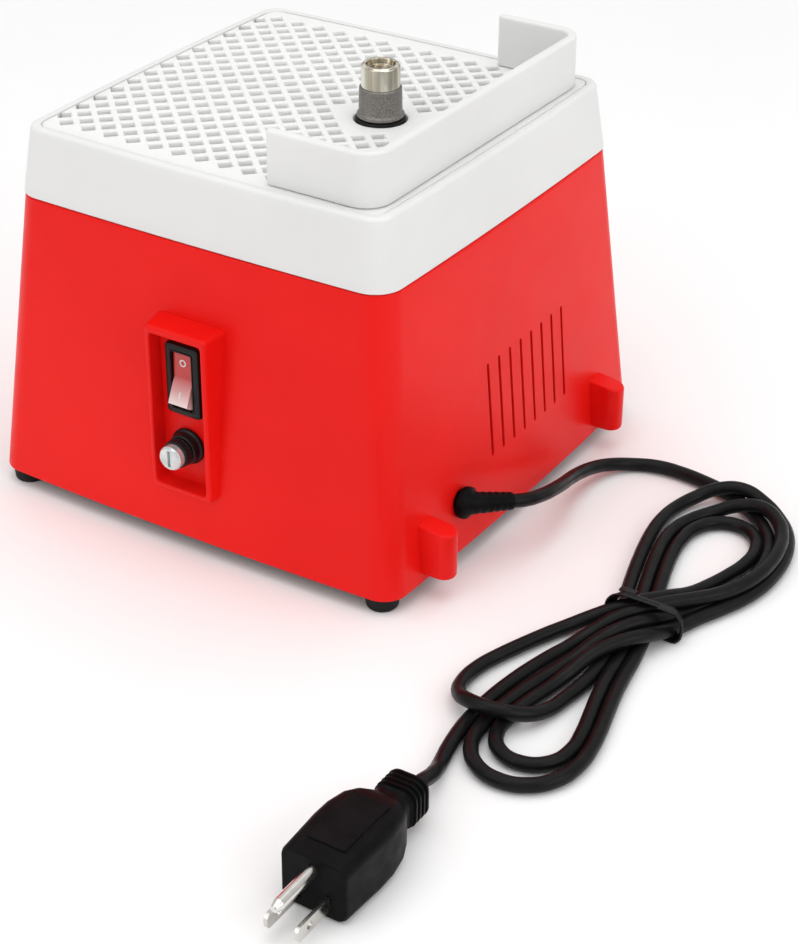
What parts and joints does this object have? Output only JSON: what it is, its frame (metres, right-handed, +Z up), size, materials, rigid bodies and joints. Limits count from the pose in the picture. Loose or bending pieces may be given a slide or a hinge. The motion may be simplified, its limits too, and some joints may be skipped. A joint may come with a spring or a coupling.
{
  "type": "bench glass grinder",
  "caption": "Bench glass grinder: tapered motor housing, water tray with lattice worktop, splash guard, vertical grinding bit, rocker switch, fuse and tied mains lead.",
  "frame": {"origin": "on the bench, under the middle of the machine's footprint, pod and lugs included and the mains lead left out", "axes": "+Z up along the spindle; +X towards the switch pod; +Y towards the splash guard and the side the mains lead leaves"},
  "size_m": [0.4049, 0.34, 0.1965],
  "materials": {
    "red_plastic": "glossy",
    "white_plastic": "satin",
    "black_plastic": "satin",
    "lamp_red": "glossy, lets light through",
    "clear_plastic": "glossy",
    "rubber": "matte",
    "steel": "plain",
    "aluminium": "cast",
    "bronze": "plain",
    "copper_wire": "varnished",
    "nickel_brass": "polished",
    "diamond_grit": "rough, grey",
    "fuse_glass": "clear"
  },
  "bodies": {
    "machine": {"housing": "red_plastic", "base_plate": "black_plastic", "water_tray": "white_plastic", "motor_plate": "steel", "motor_bracket_upper": "aluminium", "motor_bracket_lower": "aluminium", "bearing_upper": "bronze", "bearing_lower": "bronze", "stator_core": "steel", "winding_upper": "copper_wire", "winding_lower": "copper_wire", "switch_body": "black_plastic", "fuse_holder": "black_plastic", "fuse_nut": "black_plastic", "fuse": "fuse_glass", "strain_relief": "rubber", "lead_gland_to_fuse": "rubber", "lead_fuse_to_switch": "rubber", "lead_switch_to_motor": "rubber", "power_cord": "rubber", "cord_tail": "rubber", "cord_hank": "rubber", "cord_tie": "black_plastic", "plug_body": "rubber", "blade_left": "steel", "blade_right": "steel", "ground_pin": "steel", "foot_front_left": "rubber", "foot_front_right": "rubber", "foot_back_left": "rubber", "foot_back_right": "rubber", "foot_screw_front_left": "steel", "foot_screw_front_right": "steel", "foot_screw_back_left": "steel", "foot_screw_back_right": "steel", "motor_screw_1": "steel", "motor_screw_2": "steel", "motor_screw_3": "steel", "motor_screw_4": "steel"},
    "spindle": {"spindle": "steel", "rotor_core": "steel", "cooling_fan": "black_plastic", "shaft_slinger": "rubber", "bit_core": "nickel_brass", "diamond_sleeve": "diamond_grit", "bit_set_screw": "steel"},
    "worktop": {"worktop_grid": "white_plastic"},
    "guard": {"splash_guard": "white_plastic"},
    "rocker": {"rocker_button": "lamp_red"},
    "fuse_cap": {"fuse_cap": "clear_plastic"}
  },
  "joints": [
    {"name": "spindle_spin", "type": "hinge", "parent": "machine", "child": "spindle", "pos_m": [-0.0049, 0.0247, 0.1], "axis": [0, 0, 1], "continuous": true},
    {"name": "worktop_lift", "type": "slide", "parent": "machine", "child": "worktop", "axis": [0, 0, 1], "range_m": [0, 0.04]},
    {"name": "guard_lift", "type": "slide", "parent": "worktop", "child": "guard", "axis": [0, 0, 1], "range_m": [0, 0.03]},
    {"name": "rocker_tilt", "type": "hinge", "parent": "machine", "child": "rocker", "pos_m": [0.0996, -0.0042, 0.0837], "axis": [0, 1, 0], "range_deg": [0, 26]},
    {"name": "fuse_cap_turn", "type": "hinge", "parent": "machine", "child": "fuse_cap", "pos_m": [0.1011, -0.0042, 0.0513], "axis": [1, 0, 0], "range_deg": [0, 45]}
  ]
}
